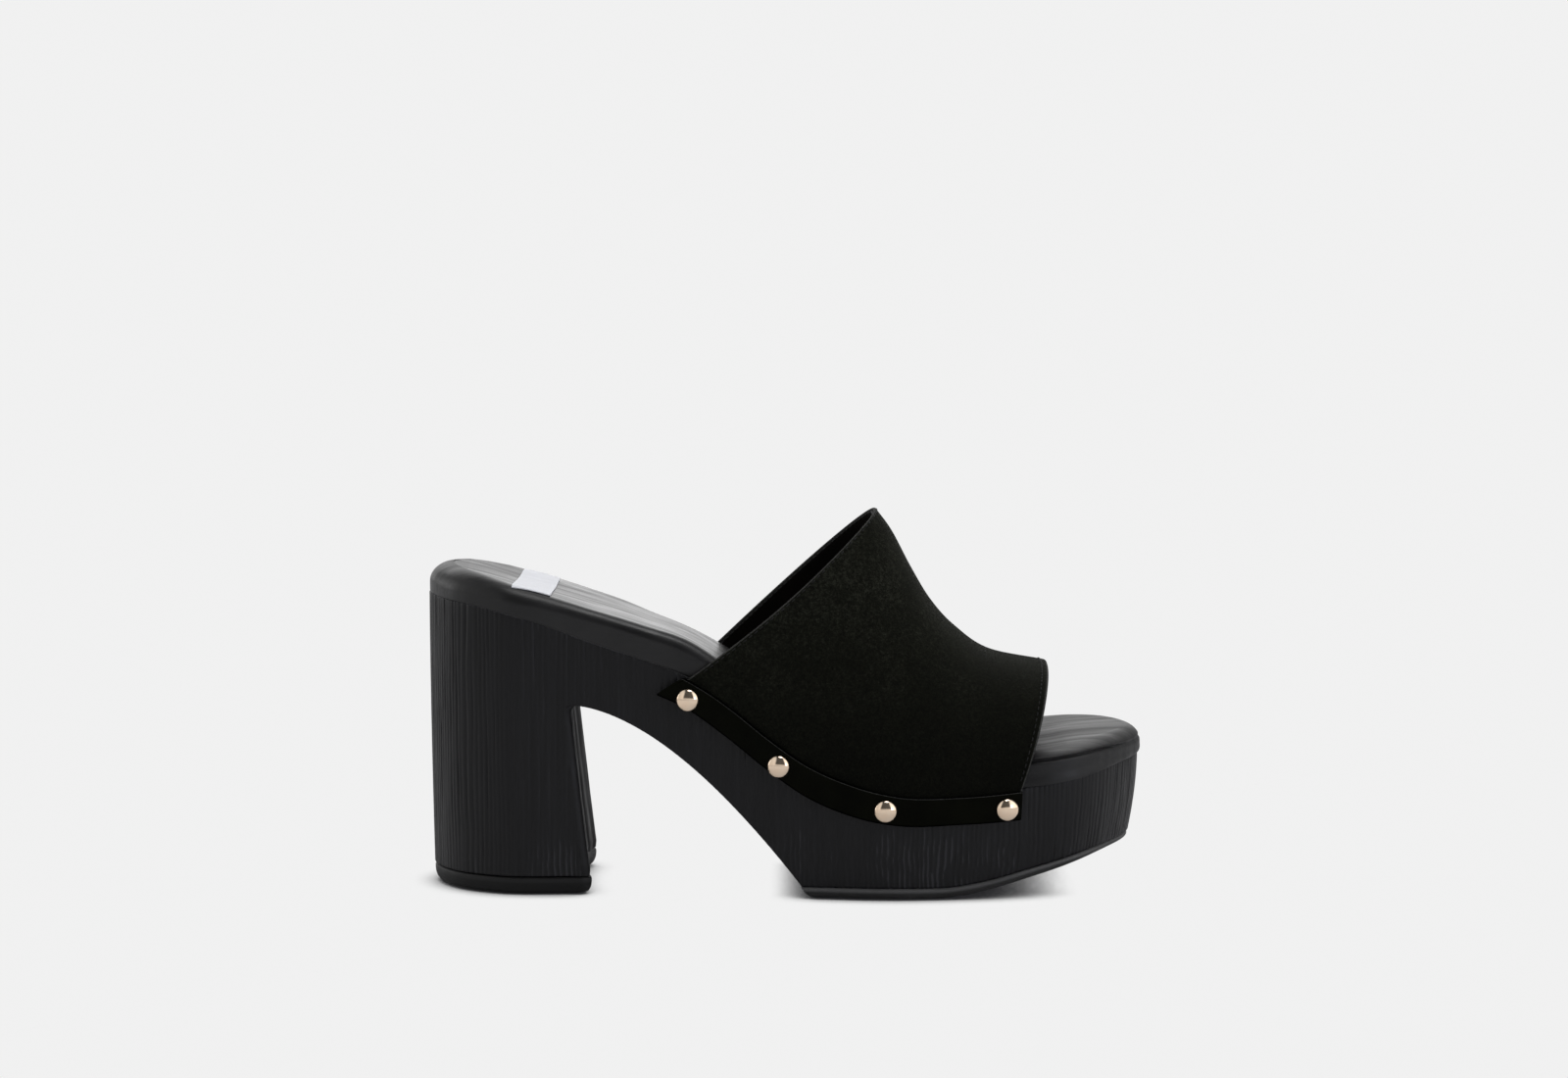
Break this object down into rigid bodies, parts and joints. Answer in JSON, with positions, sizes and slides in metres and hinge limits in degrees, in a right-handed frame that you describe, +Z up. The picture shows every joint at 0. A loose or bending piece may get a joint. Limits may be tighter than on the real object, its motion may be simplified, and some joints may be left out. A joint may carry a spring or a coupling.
{
  "type": "platform clog",
  "caption": "Black peep-toe mule clog, right shoe: moulded platform with a block heel, padded footbed, suede upper nailed along its lower edge with dome studs.",
  "frame": {"origin": "on the floor under the middle of the shoe's bounding box", "axes": "+X towards the toe, -Y towards the outer (lateral) side, +Z up"},
  "size_m": [0.2406, 0.0954, 0.127],
  "materials": {
    "platform": "moulded polyurethane with fine upright wood grain grooves, satin black",
    "rubber": "matt black rubber",
    "footbed": "satin black smooth leather over padding",
    "suede": "matt black suede nap",
    "strip": "smooth polished black",
    "stud": "polished pale rose gold",
    "label": "matt white, blank"
  },
  "bodies": {
    "root": {"platform": "platform", "outsole_forefoot": "rubber", "heel_top_piece": "rubber", "footbed": "footbed", "vamp": "suede", "side_strip_lateral": "strip", "side_strip_medial": "strip", "footbed_label": "label", "stud_lateral_1": "stud", "stud_lateral_2": "stud", "stud_lateral_3": "stud", "stud_lateral_4": "stud", "stud_medial_1": "stud", "stud_medial_2": "stud", "stud_medial_3": "stud", "stud_medial_4": "stud"}
  },
  "joints": []
}
